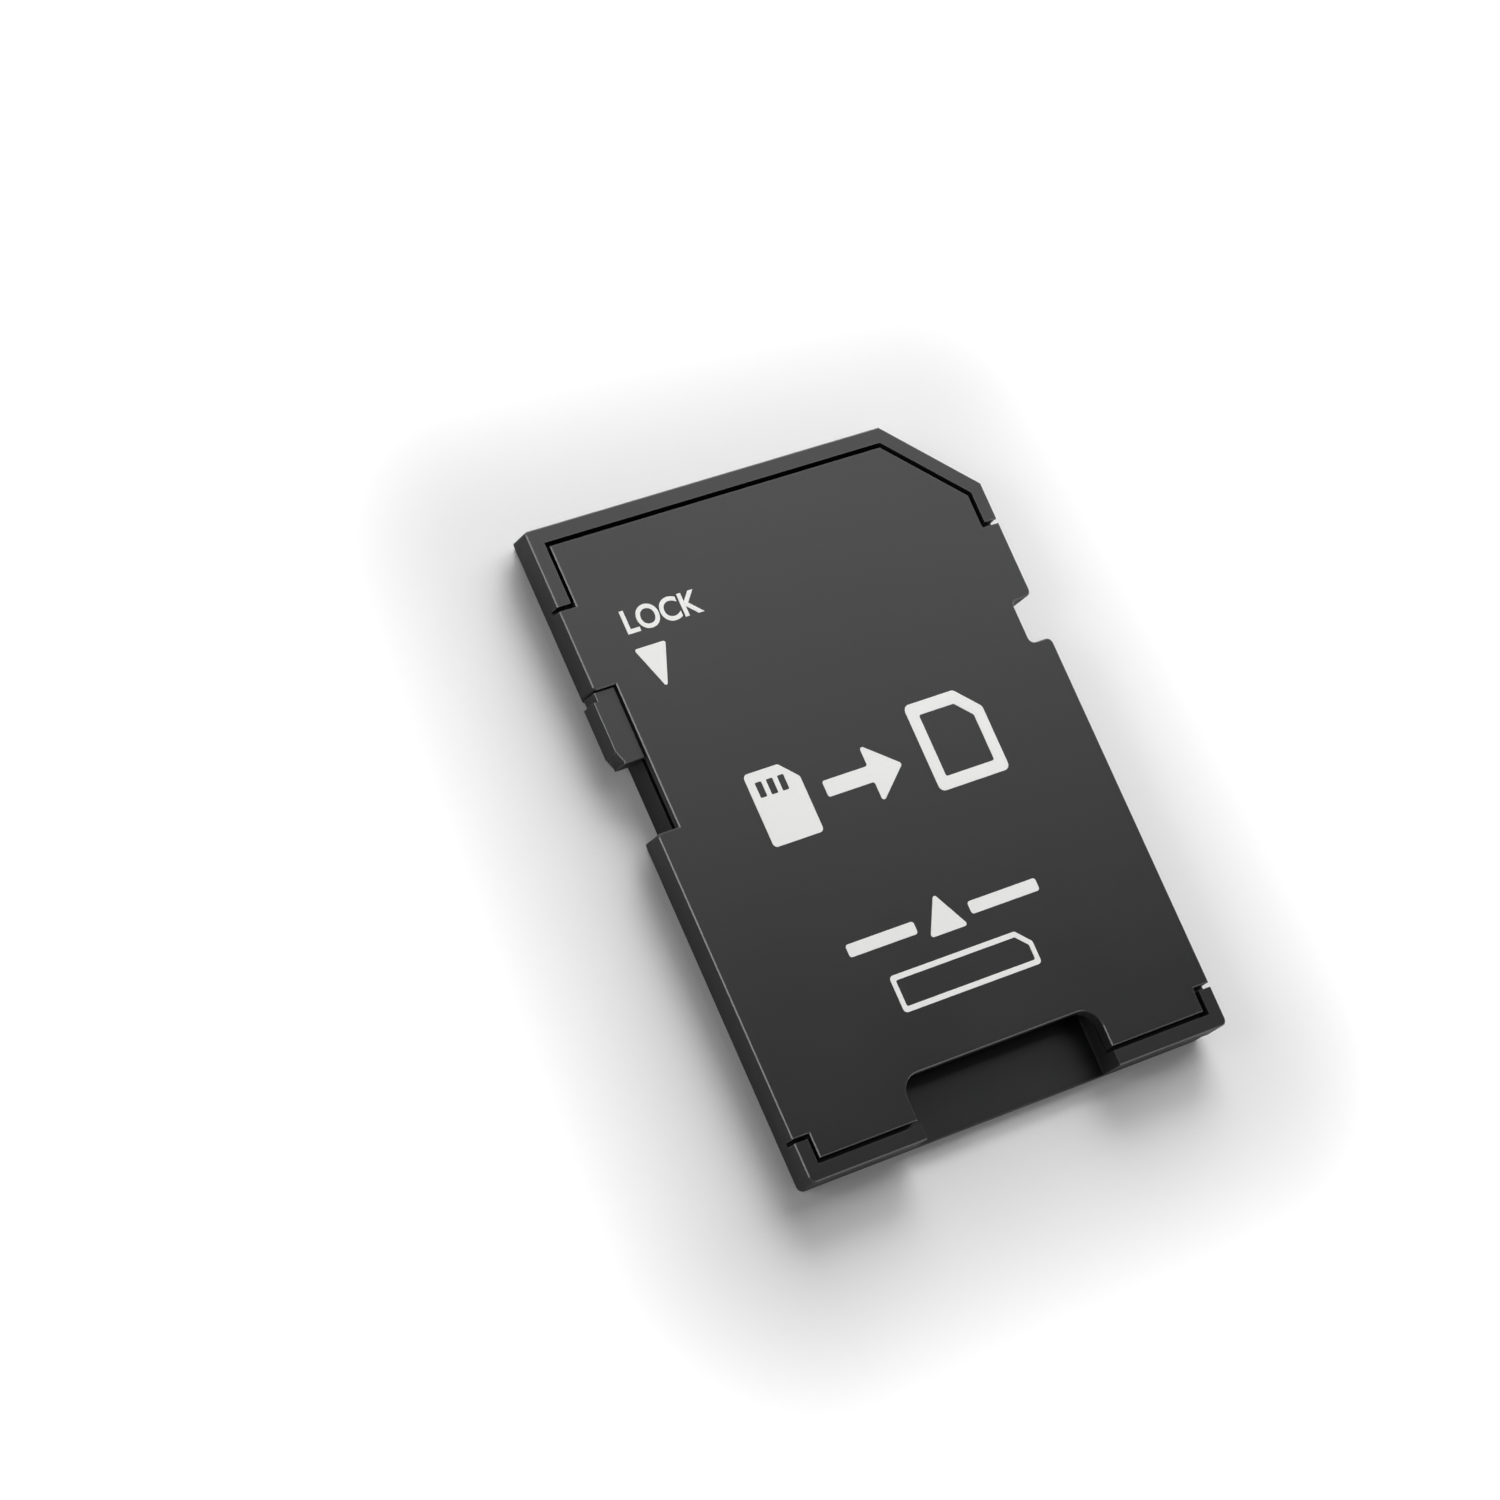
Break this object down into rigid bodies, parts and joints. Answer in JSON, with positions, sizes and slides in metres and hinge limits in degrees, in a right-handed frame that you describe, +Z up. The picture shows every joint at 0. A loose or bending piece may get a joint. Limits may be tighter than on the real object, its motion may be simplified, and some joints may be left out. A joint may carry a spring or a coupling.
{
  "type": "memory card adapter",
  "caption": "Flat card adapter with a rear slot for a small card, gold contacts in ribbed windows, a cut corner and a sliding write-protect lock.",
  "frame": {"origin": "middle of the 24 x 32 mm outline, on the back face that carries the contact windows", "axes": "+X to the side with the cut corner, +Y to the contact edge, +Z up out of the label face"},
  "size_m": [0.0241, 0.032, 0.0021],
  "materials": {
    "shell_plastic": "fine satin moulded",
    "slider_plastic": "satin moulded",
    "carrier_plastic": "matte moulded",
    "gold_contact": "flash gold plated",
    "spring_steel": "rolled",
    "label_ink": "white pad print"
  },
  "bodies": {
    "adapter": {"base_shell": "shell_plastic", "top_cover": "shell_plastic", "contact_carrier": "carrier_plastic", "card_spring": "spring_steel", "contact_1": "gold_contact", "contact_2": "gold_contact", "contact_3": "gold_contact", "contact_4": "gold_contact", "contact_5": "gold_contact", "contact_6": "gold_contact", "contact_7": "gold_contact", "contact_8": "gold_contact", "contact_9": "gold_contact"},
    "lock": {"lock_slider": "slider_plastic"}
  },
  "joints": [
    {"name": "lock_slide", "type": "slide", "parent": "adapter", "child": "lock", "axis": [0, -1, 0], "range_m": [0, 0.0035]}
  ]
}
